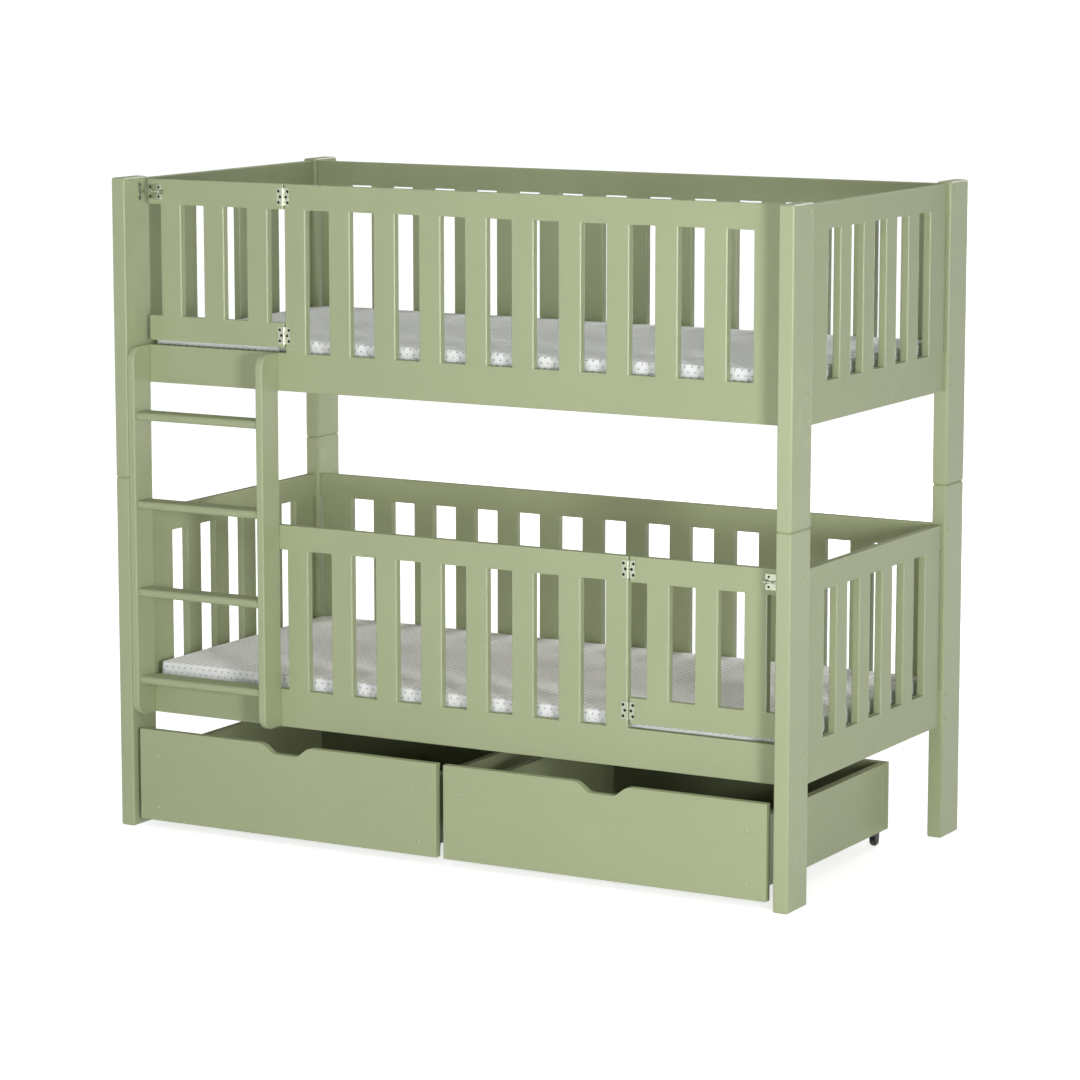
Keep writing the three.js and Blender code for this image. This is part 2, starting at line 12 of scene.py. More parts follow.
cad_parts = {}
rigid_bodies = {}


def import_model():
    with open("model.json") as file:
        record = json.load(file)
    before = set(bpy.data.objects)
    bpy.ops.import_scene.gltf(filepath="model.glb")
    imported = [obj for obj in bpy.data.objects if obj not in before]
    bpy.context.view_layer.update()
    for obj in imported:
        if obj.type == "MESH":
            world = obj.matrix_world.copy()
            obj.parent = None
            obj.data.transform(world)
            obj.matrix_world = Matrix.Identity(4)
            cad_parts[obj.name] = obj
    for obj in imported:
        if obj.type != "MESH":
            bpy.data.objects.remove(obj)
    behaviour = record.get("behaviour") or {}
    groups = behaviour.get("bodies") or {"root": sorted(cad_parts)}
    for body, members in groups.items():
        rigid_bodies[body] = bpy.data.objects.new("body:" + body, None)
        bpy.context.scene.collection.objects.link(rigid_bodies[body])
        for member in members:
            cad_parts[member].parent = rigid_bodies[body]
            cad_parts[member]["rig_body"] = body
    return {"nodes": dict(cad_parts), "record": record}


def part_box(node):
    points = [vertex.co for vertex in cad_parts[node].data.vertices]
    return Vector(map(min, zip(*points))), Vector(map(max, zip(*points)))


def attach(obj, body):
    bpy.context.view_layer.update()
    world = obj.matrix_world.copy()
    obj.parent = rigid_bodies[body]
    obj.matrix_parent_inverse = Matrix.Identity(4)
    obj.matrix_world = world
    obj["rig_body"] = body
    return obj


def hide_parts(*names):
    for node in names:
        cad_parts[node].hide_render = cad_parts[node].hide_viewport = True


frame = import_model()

for stray in ("Cube", "Light", "Camera"):
    if stray in bpy.data.objects:
        bpy.data.objects.remove(bpy.data.objects[stray])
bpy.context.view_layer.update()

MM = 0.001
nodes = frame["nodes"]
slot_of = {s["node"]: s["material_slot"] for s in frame["record"]["subparts"]}


# Materials


def shader(name):
    """A new material, with its node tree and its Principled shader."""
    mat = bpy.data.materials.new(name)
    mat.use_nodes = True
    tree = mat.node_tree
    return mat, tree, tree.nodes["Principled BSDF"]


def node(tree, kind, inputs=None, **props):
    made = tree.nodes.new(kind)
    for key, value in props.items():
        setattr(made, key, value)
    for key, value in (inputs or {}).items():
        if isinstance(value, bpy.types.NodeSocket):
            tree.links.new(value, made.inputs[key])
        else:
            made.inputs[key].default_value = value
    return made


def math_node(tree, operation, a, b=0.0, c=0.0):
    made = node(tree, "ShaderNodeMath", {0: a, 1: b, 2: c}, operation=operation)
    return made.outputs[0]


def object_coords(tree, scale=(1, 1, 1)):
    coords = node(tree, "ShaderNodeTexCoord").outputs["Object"]
    inputs = {"Vector": coords, "Scale": scale}
    return node(tree, "ShaderNodeMapping", inputs).outputs[0]


def streaked_coords(tree, axis, along, across):
    """Coordinates that draw a texture out along one axis."""
    return object_coords(tree, tuple(along if a == axis else across for a in "XYZ"))


def noise(tree, vector, scale, detail=2.0, roughness=0.5, distortion=0.0):
    made = node(
        tree,
        "ShaderNodeTexNoise",
        {
            "Vector": vector,
            "Scale": scale,
            "Detail": detail,
            "Roughness": roughness,
            "Distortion": distortion,
        },
    )
    return made.outputs["Fac"]


def ramp(tree, fac, stops):
    made = node(tree, "ShaderNodeValToRGB", {"Fac": fac})
    elements = made.color_ramp.elements
    while len(elements) < len(stops):
        elements.new(0.5)
    for element, (place, colour) in zip(elements, stops):
        element.position = place
        element.color = (*colour, 1)
    return made.outputs["Color"]


def spread(tree, fac, low, high, from_low=0.3, from_high=0.7, blend="LINEAR"):
    """Maps a value's range, by default the bulk of a noise, to low and high."""
    made = node(
        tree,
        "ShaderNodeMapRange",
        {0: fac, 1: from_low, 2: from_high, 3: low, 4: high},
        interpolation_type=blend,
    )
    return made.outputs[0]


def bump(tree, height, distance, strength=1.0, normal=None):
    inputs = {"Height": height, "Distance": distance, "Strength": strength}
    if normal is not None:
        inputs["Normal"] = normal
    return node(tree, "ShaderNodeBump", inputs).outputs[0]


def srgb(r, g, b):
    """Linear colour of an sRGB triple from 0 to 255."""

    def linear(v):
        v /= 255
        return v / 12.92 if v <= 0.04045 else ((v + 0.055) / 1.055) ** 2.4

    return tuple(linear(v) for v in (r, g, b))


PAINT = srgb(172, 182, 144)
# A painted seam is dark this far from its middle, and gone at the second, in metres
SEAM_FADE = (0.0002, 0.0007)


def shade(colour, factor):
    return tuple(min(1, c * factor) for c in colour)


def paint_material(name, grain, seam=None, gloss=0.15):
    """Satin paint over planed boards: cloudy tone, faint grain along the
    board, the fine texture that a roller leaves, and duller top faces. A
    seam is a fine joint line at that y, and gloss is the specular level."""
    mat, tree, bsdf = shader(name)
    coords = object_coords(tree)
    clouds = noise(tree, coords, 3.5, 3.0, 0.55)
    stretched = streaked_coords(tree, grain, 2.5, 60)
    fibres = noise(tree, stretched, 1.0, 4.0, 0.6, 0.4)
    tone = math_node(tree, "MULTIPLY_ADD", fibres, 0.35, clouds)
    colour = ramp(
        tree,
        tone,
        [(0.35, shade(PAINT, 0.965)), (0.7, PAINT), (1.0, shade(PAINT, 1.03))],
    )
    if seam is not None:
        y = node(tree, "ShaderNodeSeparateXYZ", {0: coords}).outputs[1]
        off = math_node(tree, "ABSOLUTE", math_node(tree, "SUBTRACT", y, seam))
        line = spread(tree, off, 1.0, 0.0, *SEAM_FADE)
        colour = node(
            tree,
            "ShaderNodeMix",
            {0: line, 6: colour, 7: (*shade(PAINT, 0.45), 1)},
            data_type="RGBA",
        ).outputs[2]
    tree.links.new(colour, bsdf.inputs["Base Color"])
    speckle = noise(tree, coords, 700, 2.0, 0.6)
    mottle = math_node(tree, "MULTIPLY_ADD", speckle, 0.4, clouds)
    rough = spread(tree, mottle, 0.2, 0.3, 0.4, 1.0)
    normal = node(tree, "ShaderNodeTexCoord").outputs["Normal"]
    facing_up = node(tree, "ShaderNodeSeparateXYZ", {0: normal}).outputs[2]
    dull = spread(tree, facing_up, 0.0, 0.6, 0.75, 0.98)
    tree.links.new(math_node(tree, "ADD", rough, dull), bsdf.inputs["Roughness"])
    bsdf.inputs["Specular IOR Level"].default_value = gloss
    peel = bump(tree, speckle, 0.00008, 0.5)
    tree.links.new(bump(tree, fibres, 0.00012, 0.35, peel), bsdf.inputs["Normal"])
    return mat


def metal_material(name, colour, roughness, streak_axis):
    """Plated steel with fine drawn lines and slight clouding."""
    mat, tree, bsdf = shader(name)
    bsdf.inputs["Metallic"].default_value = 1.0
    lines = streaked_coords(tree, streak_axis, 60, 2600)
    streaks = noise(tree, lines, 1.0, 3.0, 0.7)
    clouds = noise(tree, object_coords(tree), 90, 3.0)
    tone = ramp(tree, clouds, [(0.3, shade(colour, 0.9)), (0.7, colour)])
    tree.links.new(tone, bsdf.inputs["Base Color"])
    rough = spread(tree, streaks, roughness * 0.8, roughness * 1.3)
    tree.links.new(rough, bsdf.inputs["Roughness"])
    tree.links.new(bump(tree, streaks, 0.00002, 0.3), bsdf.inputs["Normal"])
    return mat


def plastic_material(name, colour):
    """Moulded plastic with a fine spark-eroded grain."""
    mat, tree, bsdf = shader(name)
    grain = noise(tree, object_coords(tree), 2200, 2.0)
    clouds = noise(tree, object_coords(tree), 60, 2.0)
    tree.links.new(
        ramp(tree, clouds, [(0.3, shade(colour, 0.8)), (0.7, shade(colour, 1.25))]),
        bsdf.inputs["Base Color"],
    )
    tree.links.new(spread(tree, grain, 0.4, 0.6), bsdf.inputs["Roughness"])
    tree.links.new(bump(tree, grain, 0.00006, 0.5), bsdf.inputs["Normal"])
    return mat


def bare_wood_material(name):
    """Planed pine: growth rings cut lengthwise, pores and a few knots' worth
    of darker streaks, with the grain running across the bed."""
    mat, tree, bsdf = shader(name)
    along = object_coords(tree, (14, 1.1, 14))
    warped = noise(tree, along, 1.6, 4.0, 0.6, 1.2)
    rings = node(
        tree,
        "ShaderNodeTexWave",
        {
            "Vector": along,
            "Scale": 3.2,
            "Distortion": 6.0,
            "Detail": 3.0,
            "Detail Scale": 1.2,
        },
        wave_type="BANDS",
        bands_direction="X",
    ).outputs["Fac"]
    faint_rings = math_node(tree, "MULTIPLY", rings, 0.45)
    mixed = math_node(tree, "MULTIPLY_ADD", warped, 0.6, faint_rings)
    colour = ramp(
        tree,
        mixed,
        [
            (0.15, (0.50, 0.33, 0.17)),
            (0.45, (0.66, 0.48, 0.28)),
            (0.85, (0.77, 0.60, 0.39)),
        ],
    )
    tree.links.new(colour, bsdf.inputs["Base Color"])
    pores = noise(tree, object_coords(tree, (900, 40, 900)), 1.0, 2.0)
    tree.links.new(spread(tree, pores, 0.5, 0.7), bsdf.inputs["Roughness"])
    tree.links.new(bump(tree, pores, 0.0001, 0.4), bsdf.inputs["Normal"])
    return mat


# The knit, in metres: how far apart its wells are along a row and from row to
# row, and between which distances from its middle a well fades
KNIT_PITCH = 0.0167
KNIT_ROW = 0.0115
WELL_FADE = (0.0014, 0.0038)
# A well's width over its height, and the cosines between which a groove darkens with
# painted shade
WELL_FLATNESS = 1.5
GROOVE_FADE = (-0.45, -1.0)
# A face counts as top where its normal's z is above the first, and the material
# takes the underside for top too. There the wells keep the second's share of
# their strength, and on the sides the grooves keep the third's
TOP_SLOPE = 0.62
TOP_WELL = 0.3
SIDE_GROOVE = 0.12


def knit_material(name):
    """White spacer-knit cover: staggered wells that show on the sides and grooves
    between them that show on top, each bumped and darkened with painted shade, and a
    fine yarn texture over all of it."""
    mat, tree, bsdf = shader(name)
    coords = node(tree, "ShaderNodeTexCoord")
    place = node(tree, "ShaderNodeSeparateXYZ", {0: coords.outputs["Object"]})
    normal = node(tree, "ShaderNodeSeparateXYZ", {0: coords.outputs["Normal"]})
    x, y, z = place.outputs
    nx, ny, nz = (math_node(tree, "ABSOLUTE", n) for n in normal.outputs)
    top = math_node(tree, "GREATER_THAN", nz, TOP_SLOPE)
    end = math_node(tree, "GREATER_THAN", nx, ny)

    def choose(switch, a, b):
        """a where the switch is 1, b where it is 0."""
        step = math_node(tree, "SUBTRACT", a, b)
        return math_node(tree, "MULTIPLY_ADD", step, switch, b)

    across = choose(top, x, choose(end, y, x))
    upward = choose(top, y, z)
    column = math_node(tree, "DIVIDE", across, KNIT_PITCH)
    row = math_node(tree, "DIVIDE", upward, KNIT_ROW)
    row_index = math_node(tree, "ROUND", row)
    odd = math_node(tree, "PINGPONG", row_index, 1.0)
    shifted = math_node(tree, "MULTIPLY_ADD", odd, 0.5, column)
    du = math_node(tree, "SUBTRACT", shifted, math_node(tree, "ROUND", shifted))
    dv = math_node(tree, "SUBTRACT", row, row_index)
    du = math_node(tree, "MULTIPLY", du, KNIT_PITCH)
    dv = math_node(tree, "MULTIPLY", dv, KNIT_ROW * WELL_FLATNESS)
    squared = math_node(tree, "MULTIPLY", dv, dv)
    squared = math_node(tree, "MULTIPLY_ADD", du, du, squared)
    far = math_node(tree, "SQRT", squared)
    well = spread(tree, far, 1.0, 0.0, *WELL_FADE, "SMOOTHSTEP")
    wave = math_node(tree, "COSINE", math_node(tree, "MULTIPLY", column, 2 * math.pi))
    groove = spread(tree, wave, 0.0, 1.0, *GROOVE_FADE, "SMOOTHSTEP")
    well = math_node(tree, "MULTIPLY", well, choose(top, TOP_WELL, 1.0))
    groove = math_node(tree, "MULTIPLY", groove, choose(top, 1.0, SIDE_GROOVE))
    yarn = noise(tree, coords.outputs["Object"], 1400, 2.0, 0.6)
    loops = noise(tree, coords.outputs["Object"], 260, 2.0, 0.5)
    # Painted shade: the wells and grooves darken the cover's colour, coolest where
    # darkest, over random tone from the loops
    painted_shade_and_tone = math_node(tree, "MULTIPLY", well, 0.85)
    painted_shade_and_tone = math_node(tree, "MULTIPLY_ADD", loops, 0.2, painted_shade_and_tone)
    painted_shade_and_tone = math_node(tree, "MULTIPLY_ADD", groove, 0.6, painted_shade_and_tone)
    colour = ramp(
        tree,
        painted_shade_and_tone,
        [
            (0.1, (0.97, 0.975, 1.0)),
            (0.45, (0.94, 0.945, 1.0)),
            (1.0, (0.5, 0.51, 0.58)),
        ],
    )
    tree.links.new(colour, bsdf.inputs["Base Color"])
    tree.links.new(spread(tree, yarn, 0.85, 1.0), bsdf.inputs["Roughness"])
    bsdf.inputs["Sheen Weight"].default_value = 1.0
    bsdf.inputs["Sheen Roughness"].default_value = 0.25
    depth = math_node(tree, "MULTIPLY", well, -1.0)
    height = math_node(tree, "MULTIPLY_ADD", groove, -0.6, depth)
    relief = bump(tree, height, 0.0015, 0.7)
    tree.links.new(bump(tree, yarn, 0.0003, 0.5, relief), bsdf.inputs["Normal"])
    return mat


# The paint of panels, gates, rungs and drawer fronts, by the axis of the grain
paint = {axis: paint_material(f"sage_paint_{axis.lower()}", axis) for axis in "XY"}
# The seam on a drawer's side, where its 18 mm back board begins
BACK_BOARD_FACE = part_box("left_drawer_box")[1].y - 18 * MM
drawer_paint = paint_material("sage_paint_drawer", "Y", BACK_BOARD_FACE)
post_paint = paint_material("sage_paint_post", "Z", gloss=0.3)
edge_paint = paint_material("sage_paint_edge", "Z", gloss=0.6)
nickel = metal_material("plated_steel", (0.44, 0.47, 0.36), 0.22, "Z")
dark_screw = metal_material("screw_steel", (0.02, 0.025, 0.015), 0.35, "Y")
black_plastic = plastic_material("black_plastic", (0.016, 0.017, 0.012))
tyre_plastic = plastic_material("wheel_plastic", (0.03, 0.031, 0.027))
bare_wood = bare_wood_material("planed_pine")
knit = knit_material("knitted_cover")


# Eased edges and smooth shading

# Edges that bend by more than this are eased and kept sharp
CREASE_ANGLE = math.radians(38)


def smooth_by_angle(limit):
    """A node group that keeps edges sharper than the limit sharp."""
    group = bpy.data.node_groups.new("smooth_by_angle", "GeometryNodeTree")
    for way in ("INPUT", "OUTPUT"):
        group.interface.new_socket(
            "Geometry", in_out=way, socket_type="NodeSocketGeometry"
        )
    start = group.nodes.new("NodeGroupInput")
    angle = group.nodes.new("GeometryNodeInputMeshEdgeAngle")
    sharp = node(
        group,
        "FunctionNodeCompare",
        {0: angle.outputs[0], 1: limit},
        data_type="FLOAT",
        operation="GREATER_THAN",
    )
    faces = node(
        group,
        "GeometryNodeSetShadeSmooth",
        {"Geometry": start.outputs[0], "Shade Smooth": True},
        domain="FACE",
    )
    edges = node(
        group,
        "GeometryNodeSetShadeSmooth",
        {
            "Geometry": faces.outputs[0],
            "Selection": sharp.outputs[0],
            "Shade Smooth": False,
        },
        domain="EDGE",
    )
    node(group, "NodeGroupOutput", {0: edges.outputs[0]})
    return group


SMOOTH = smooth_by_angle(CREASE_ANGLE)


def shade_cleanly(obj):
    """Smooth shading that leaves the flat faces flat."""
    obj.modifiers.new("smooth", "NODES").node_group = SMOOTH
    normals = obj.modifiers.new("normals", "WEIGHTED_NORMAL")
    normals.mode = "FACE_AREA"
    normals.weight = 100
    normals.keep_sharp = True


def ease_edges(obj, radius, segments=3, method="ANGLE"):
    bevel = obj.modifiers.new("eased_edges", "BEVEL")
    bevel.width = radius
    bevel.segments = segments
    bevel.limit_method = method
    bevel.angle_limit = CREASE_ANGLE
    bevel.use_clamp_overlap = True
    bevel.miter_outer = "MITER_ARC"


def clean_packed(obj):
    """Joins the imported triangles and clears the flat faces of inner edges."""
    weld = obj.modifiers.new("weld", "WELD")
    weld.merge_threshold = 1e-5
    flat = obj.modifiers.new("flat_faces", "DECIMATE")
    flat.decimate_type = "DISSOLVE"
    flat.angle_limit = math.radians(0.5)


# The CAD nodes: materials and edges


def paint_for(name):
    if "post" in name or "stringer" in name:
        return post_paint
    if "drawer_box" in name:
        return drawer_paint
    if "end_panel" in name:
        return paint["Y"]
    return paint["X"]


def cad_material(name):
    slot = slot_of[name]
    if slot == "painted_wood":
        return paint_for(name)
    if slot == "hinge_metal":
        return nickel
    if slot == "bare_wood":
        return bare_wood
    return tyre_plastic if name.endswith("wheel") else black_plastic


# How far each kind of node has its edges eased, in millimetres. The first kind
# that a node's name holds counts
EDGE_RADIUS = {
    "caster": 0.6,
    "leaf": 0.3,
    "latch": 0.3,
    "slatted_base": 1.5,
    "post": 0.6,
    "stringer": 3.0,
    "rung": 1.6,
    "drawer": 1.2,
}


def dress_node(name, obj):
    for slot in obj.material_slots:
        slot.material = cad_material(name)
    radius = next(r for kind, r in EDGE_RADIUS.items() if kind in name)
    clean_packed(obj)
    ease_edges(obj, radius * MM)
    shade_cleanly(obj)


# New pieces


def finish_piece(name, bm, body, material):
    """Makes an object of the mesh and hangs it on a body of the frame."""
    mesh = bpy.data.meshes.new(name)
    bmesh.ops.recalc_face_normals(bm, faces=bm.faces)
    bm.to_mesh(mesh)
    bm.free()
    obj = bpy.data.objects.new(name, mesh)
    bpy.context.scene.collection.objects.link(obj)
    obj.data.materials.append(material)
    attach(obj, body)
    return obj


# Slatted boards: the long edges of the slats are rounded, the rest eased

SLAT_RADIUS = 3.6 * MM
# The share of that radius that all the other edges get
RAIL_SHARE = 0.24


def board_cells(obj):
    """The board's thin axis and, across it, the stations of its outline and
    slots, with the cells between them that are wood."""
    points = np.array([v.co for v in obj.data.vertices])
    low, high = points.min(0), points.max(0)
    thin = int(np.argmin(high - low))
    wide = 1 - thin
    us = sorted(set(np.round(points[:, wide], 5)))
    vs = sorted(set(np.round(points[:, 2], 5)))
    obj.data.calc_loop_triangles()
    flat = []
    for tri in obj.data.loop_triangles:
        corners = points[list(tri.vertices)]
        if np.allclose(corners[:, thin], low[thin], atol=1e-6):
            flat.append(corners[:, [wide, 2]])

    def wood(u, v):
        """Whether a point lies in a triangle of the board's face."""
        for a, b, c in flat:
            d1 = (b[0] - a[0]) * (v - a[1]) - (b[1] - a[1]) * (u - a[0])
            d2 = (c[0] - b[0]) * (v - b[1]) - (c[1] - b[1]) * (u - b[0])
            d3 = (a[0] - c[0]) * (v - c[1]) - (a[1] - c[1]) * (u - c[0])
            if (d1 >= 0) == (d2 >= 0) == (d3 >= 0):
                return True
        return False

    filled = {
        (i, j)
        for i in range(len(us) - 1)
        for j in range(len(vs) - 1)
        if wood((us[i] + us[i + 1]) / 2, (vs[j] + vs[j + 1]) / 2)
    }
    return thin, us, vs, (low[thin], high[thin]), filled


def build_board(name):
    """A slatted board in the place of its node, on a mesh that bevels well."""
    source = nodes[name]
    thin, us, vs, depth, filled = board_cells(source)
    bm = bmesh.new()
    weight = bm.edges.layers.float.new("bevel_weight_edge")
    made = {}

    def corner(i, j, k):
        if (i, j, k) not in made:
            place = [0, 0, vs[j]]
            place[thin] = depth[k]
            place[1 - thin] = us[i]
            made[i, j, k] = bm.verts.new(place)
        return made[i, j, k]

    def wall(a, b):
        bm.faces.new((corner(*a, 0), corner(*b, 0), corner(*b, 1), corner(*a, 1)))
        upright = a[0] == b[0]
        free = "gate" in name or 0 < a[0] < len(us) - 1
        for k in (0, 1):
            edge = bm.edges.get((corner(*a, k), corner(*b, k)))
            edge[weight] = 1.0 if upright and free else RAIL_SHARE

    for i, j in filled:
        for k in (0, 1):
            around = ((i, j), (i + 1, j), (i + 1, j + 1), (i, j + 1))
            bm.faces.new([corner(*place, k) for place in around])
    for i, j in filled:
        if (i - 1, j) not in filled:
            wall((i, j), (i, j + 1))
        if (i + 1, j) not in filled:
            wall((i + 1, j), (i + 1, j + 1))
        if (i, j - 1) not in filled:
            wall((i, j), (i + 1, j))
        if (i, j + 1) not in filled:
            wall((i, j + 1), (i + 1, j + 1))
    for (i, j, k), vert in made.items():
        touching = sum((i - a, j - b) in filled for a in (0, 1) for b in (0, 1))
        if k == 0 and touching == 1:
            edge = bm.edges.get((vert, made[i, j, 1]))
            edge[weight] = RAIL_SHARE
    body = source["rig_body"]
    obj = finish_piece(f"{name}_board", bm, body, paint_for(name))
    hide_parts(name)
    obj.data.materials.append(edge_paint)
    ease_edges(obj, SLAT_RADIUS, 4, "WEIGHT")
    obj.modifiers["eased_edges"].material = 1
    shade_cleanly(obj)


# Small hardware


def lathe(bm, profile, frame_matrix, sides=24):
    """Turns a profile of (radius, height) points about the matrix's z axis.
    It starts and ends on the axis."""
    rings = []
    for radius, height in profile:
        if radius < 1e-7:
            rings.append([bm.verts.new(frame_matrix @ Vector((0, 0, height)))])
            continue
        ring = []
        for i in range(sides):
            a = 2 * math.pi * i / sides
            point = Vector((radius * math.cos(a), radius * math.sin(a), height))
            ring.append(bm.verts.new(frame_matrix @ point))
        rings.append(ring)
    for low, high in zip(rings, rings[1:]):
        for i in range(sides):
            j = (i + 1) % sides
            if len(low) == 1:
                bm.faces.new((low[0], high[i], high[j]))
            elif len(high) == 1:
                bm.faces.new((low[i], low[j], high[0]))
            else:
                bm.faces.new((low[i], low[j], high[j], high[i]))


def facing(point, normal, spin=0.0):
    """A matrix at a point, in metres, whose z axis is the normal."""
    turn = Vector(normal).to_track_quat("Z", "Y").to_matrix().to_4x4()
    return Matrix.Translation(point) @ turn @ Matrix.Rotation(spin, 4, "Z")


def add_screw(bm, point, normal, radius, spin):
    """A countersunk screw head with a cross recess that narrows inward."""
    at = facing(point, normal, spin)
    deep = radius * 0.55
    arm = radius * 0.62
    half = radius * 0.14
    rise = radius * 0.16
    narrowing = 0.6
    cross = [
        (arm, -half), (arm, half), (half, half), (half, arm),
        (-half, arm), (-half, half), (-arm, half), (-arm, -half),
        (-half, -half), (-half, -arm), (half, -arm), (half, -half),
    ]
    corners = len(cross)
    sides = 2 * corners

    def ring(r, height):
        return [
            bm.verts.new(at @ Vector((r * math.cos(a), r * math.sin(a), height)))
            for a in (2 * math.pi * (i - 0.5) / sides for i in range(sides))
        ]

    rim = ring(radius, 0)
    shoulder = ring(0.86 * radius, rise)
    mouth = [bm.verts.new(at @ Vector((x, y, rise))) for x, y in cross]
    floor = [
        bm.verts.new(at @ Vector((x * narrowing, y * narrowing, rise - deep)))
        for x, y in cross
    ]
    bm.faces.new(list(reversed(rim)))
    for i in range(sides):
        j = (i + 1) % sides
        bm.faces.new((rim[i], rim[j], shoulder[j], shoulder[i]))
    for i in range(corners):
        j = (i + 1) % corners
        bm.faces.new((mouth[i], mouth[j], floor[j], floor[i]))
    bm.faces.new(floor)
    # Two shoulder steps run from each mouth corner to the next
    for i in range(corners):
        j = (i + 1) % corners
        a, b, c = (shoulder[(2 * i + k) % sides] for k in (0, 1, 2))
        bm.faces.new((a, b, mouth[i]))
        bm.faces.new((b, c, mouth[j], mouth[i]))


def add_plug(bm, point, normal, radius, height):
    """A round plug with upright sides and a flat face, eased between."""
    round_off = min(0.45 * radius, 0.8 * height)
    sunk = 0.3 * MM
    profile = [(0, -sunk), (radius, -sunk)]
    steps = 5
    for i in range(steps + 1):
        a = math.radians(90 * i / steps)
        out = radius - round_off * (1 - math.cos(a))
        up = height - round_off * (1 - math.sin(a))
        profile.append((out, up))
    profile.append((0, height))
    lathe(bm, profile, facing(point, normal))


# A bolt cover's outline, as shares of its radius and of its height
DISH = (
    (0, -0.3), (1.0, -0.3), (1.0, 0.35), (0.93, 0.85), (0.84, 1.0),
    (0.74, 0.85), (0.5, 0.3), (0.25, 0.08), (0, 0.05),
)


def add_dished_cap(bm, point, normal, radius, height):
    """A bolt cover with a raised rim and a dished middle."""
    profile = [(r * radius, h * height) for r, h in DISH]
    lathe(bm, profile, facing(point, normal))


# The x direction from each gate's hinges to its latch
LEVELS = {"lower": 1, "upper": -1}
FRONT = (0, -1, 0)

# Hinges and latches, in millimetres. The first three are sizes of CAD nodes, and
# a latch plate is as thick as a leaf
KNUCKLE_RADIUS = 2.8
LEAF_THICKNESS = 1.5
ROD_RADIUS = 2.6
HINGE_SCREW_RADIUS = 3.3
HINGE_SCREW_STEP = 12.2
# Steps up from the leaf's middle, and how far the screw is from the pin
HINGE_SCREWS = ((-1, 11.6), (0, 7.6), (1, 11.6))
LATCH_SCREW_RADIUS = 2.7
LATCH_SCREW_X = 11
LATCH_SCREW_Z = 10.5

# The keeper on the post, in millimetres from the rod's axis: its front and back
# edges, its ends, the hole's half width and half height, and how far the strips
# beside the hole reach past it
KEEPER_THICKNESS = 1.1
KEEPER_EASE = 0.25
KEEPER_Y = (-7, 5)
KEEPER_END = 20
HOLE_Y = 3.6
HOLE_Z = 4.2
STRIP_END = 5
KEEPER_SCREW_RADIUS = 2.2
KEEPER_SCREW_Y = -1
KEEPER_SCREW_Z = 14.6


def hinge_screws():
    """Three screws on each leaf, in a zigzag, and the same on both leaves.
    Each one's cross is turned on from the last."""
    turn = 0.3
    bodies = ("bed_frame", "lower_gate_leaf", "upper_gate_leaf")
    made = {body: bmesh.new() for body in bodies}
    for level, side in LEVELS.items():
        for place in ("top", "bottom"):
            for kind, away in (("fixed", -side), ("moving", side)):
                name = f"{level}_gate_hinge_{place}_{kind}_leaf"
                low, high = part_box(name)
                edge = high.x if away < 0 else low.x
                pin = edge + away * KNUCKLE_RADIUS * MM
                z = (low.z + high.z) / 2
                front = high.y - LEAF_THICKNESS * MM
                body = "bed_frame" if kind == "fixed" else f"{level}_gate_leaf"
                for step, reach in HINGE_SCREWS:
                    x = pin + away * reach * MM
                    point = Vector((x, front, z + step * HINGE_SCREW_STEP * MM))
                    turn += 0.83
                    add_screw(made[body], point, FRONT, HINGE_SCREW_RADIUS * MM, turn)
    return made


def add_latch_screws(made):
    """Four screws on each latch plate, turned on like those of the hinges."""
    turn = 1.1
    for level in LEVELS:
        low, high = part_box(f"{level}_latch_plate")
        mid_x = (low.x + high.x) / 2
        mid_z = (low.z + high.z) / 2
        front = high.y - LEAF_THICKNESS * MM
        bm = made[f"{level}_gate_leaf"]
        for dx in (-LATCH_SCREW_X, LATCH_SCREW_X):
            for dz in (-LATCH_SCREW_Z, LATCH_SCREW_Z):
                turn += 0.9
                point = Vector((mid_x + dx * MM, front, mid_z + dz * MM))
                add_screw(bm, point, FRONT, LATCH_SCREW_RADIUS * MM, turn)


def add_plate(bm, low, high, radius):
    """A plate between two corners, with its edges eased."""
    corner = Vector(low)
    size = Vector(high) - corner
    verts = bmesh.ops.create_cube(bm, size=1.0)["verts"]
    for v in verts:
        v.co = corner + Vector([(c + 0.5) * length for c, length in zip(v.co, size)])
    edges = list({e for v in verts for e in v.link_edges})
    bmesh.ops.bevel(
        bm, geom=edges, offset=radius, segments=2, affect="EDGES", profile=0.5
    )


def build_keepers(screws):
    """A keeper on the post beside each latch, in four parts round the hole for
    the rod, with two screws."""
    bm = bmesh.new()
    for level, side in LEVELS.items():
        low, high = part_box(f"{level}_latch_rod")
        rod_y = high.y - ROD_RADIUS * MM
        z = (low.z + high.z) / 2
        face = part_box("lower_post_front_right")[0].x * side
        proud = face - side * KEEPER_THICKNESS * MM
        left, right = sorted((face, proud))

        def add_part(front, back, bottom, top):
            add_plate(
                bm,
                (left, rod_y + front * MM, bottom),
                (right, rod_y + back * MM, top),
                KEEPER_EASE * MM,
            )

        for way in (-1, 1):
            ends = (z + way * HOLE_Z * MM, z + way * KEEPER_END * MM)
            add_part(*KEEPER_Y, *sorted(ends))
            screw_z = z + way * KEEPER_SCREW_Z * MM
            point = Vector((proud, rod_y + KEEPER_SCREW_Y * MM, screw_z))
            radius = KEEPER_SCREW_RADIUS * MM
            add_screw(screws, point, (-side, 0, 0), radius, 0.4 + way)
        for y0, y1 in ((KEEPER_Y[0], -HOLE_Y), (HOLE_Y, KEEPER_Y[1])):
            add_part(y0, y1, z - STRIP_END * MM, z + STRIP_END * MM)
    return bm


def build_hardware():
    screws = hinge_screws()
    add_latch_screws(screws)
    keepers = build_keepers(screws["bed_frame"])
    obj = finish_piece("latch_keepers", keepers, "bed_frame", nickel)
    shade_cleanly(obj)
    for body, bm in screws.items():
        obj = finish_piece(f"{body}_screws", bm, body, dark_screw)
        shade_cleanly(obj)


